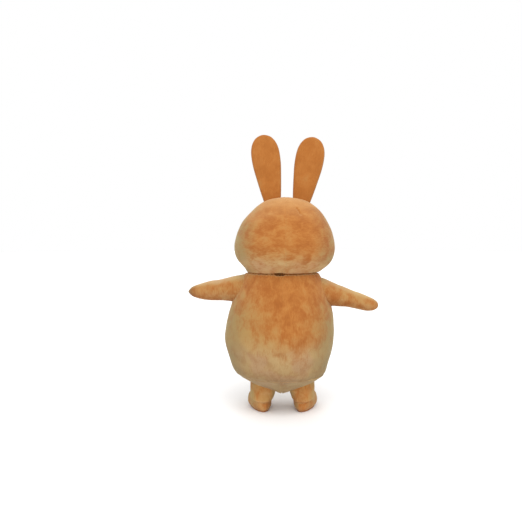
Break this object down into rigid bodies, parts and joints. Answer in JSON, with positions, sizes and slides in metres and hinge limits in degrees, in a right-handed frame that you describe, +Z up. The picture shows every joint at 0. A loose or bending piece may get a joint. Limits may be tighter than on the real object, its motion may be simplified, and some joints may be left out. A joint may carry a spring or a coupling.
{
  "type": "rabbit mascot costume",
  "caption": "Plush rabbit mascot costume in its worn form: a domed head with long ears, a pear-shaped body with sleeves that end in mitts, short legs and overshoes.",
  "frame": {"origin": "the middle of the neck opening, where the wearer carries the costume, 1.141 m above the floor the soles stand on", "axes": "+Z up, -Y the way the wearer faces, +X the wearer's left"},
  "size_m": [1.585, 0.7931, 2.2647],
  "materials": {
    "plush": "short-pile plush, brushed both ways",
    "ear_plush": "short-pile plush, smooth",
    "eye_black": "polished dome",
    "nose_brown": "satin dome",
    "sole_tan": "fine-grained foam rubber"
  },
  "bodies": {
    "root": {"head_back_left": "plush", "head_back_right": "plush", "head_front_right": "plush", "head_front_left": "plush", "body_back_left": "plush", "body_back_right": "plush", "body_front": "plush", "arm_left_back": "plush", "arm_left_front": "plush", "arm_right_back": "plush", "arm_right_front": "plush", "seat_left": "plush", "seat_right": "plush", "leg_left": "plush", "leg_right": "plush", "foot_left": "plush", "foot_right": "plush", "ear_left_back": "ear_plush", "ear_left_front": "ear_plush", "ear_right_back": "ear_plush", "ear_right_front": "ear_plush", "eye_left": "eye_black", "eye_right": "eye_black", "nose": "nose_brown", "sole_left": "sole_tan", "sole_right": "sole_tan"}
  },
  "joints": []
}
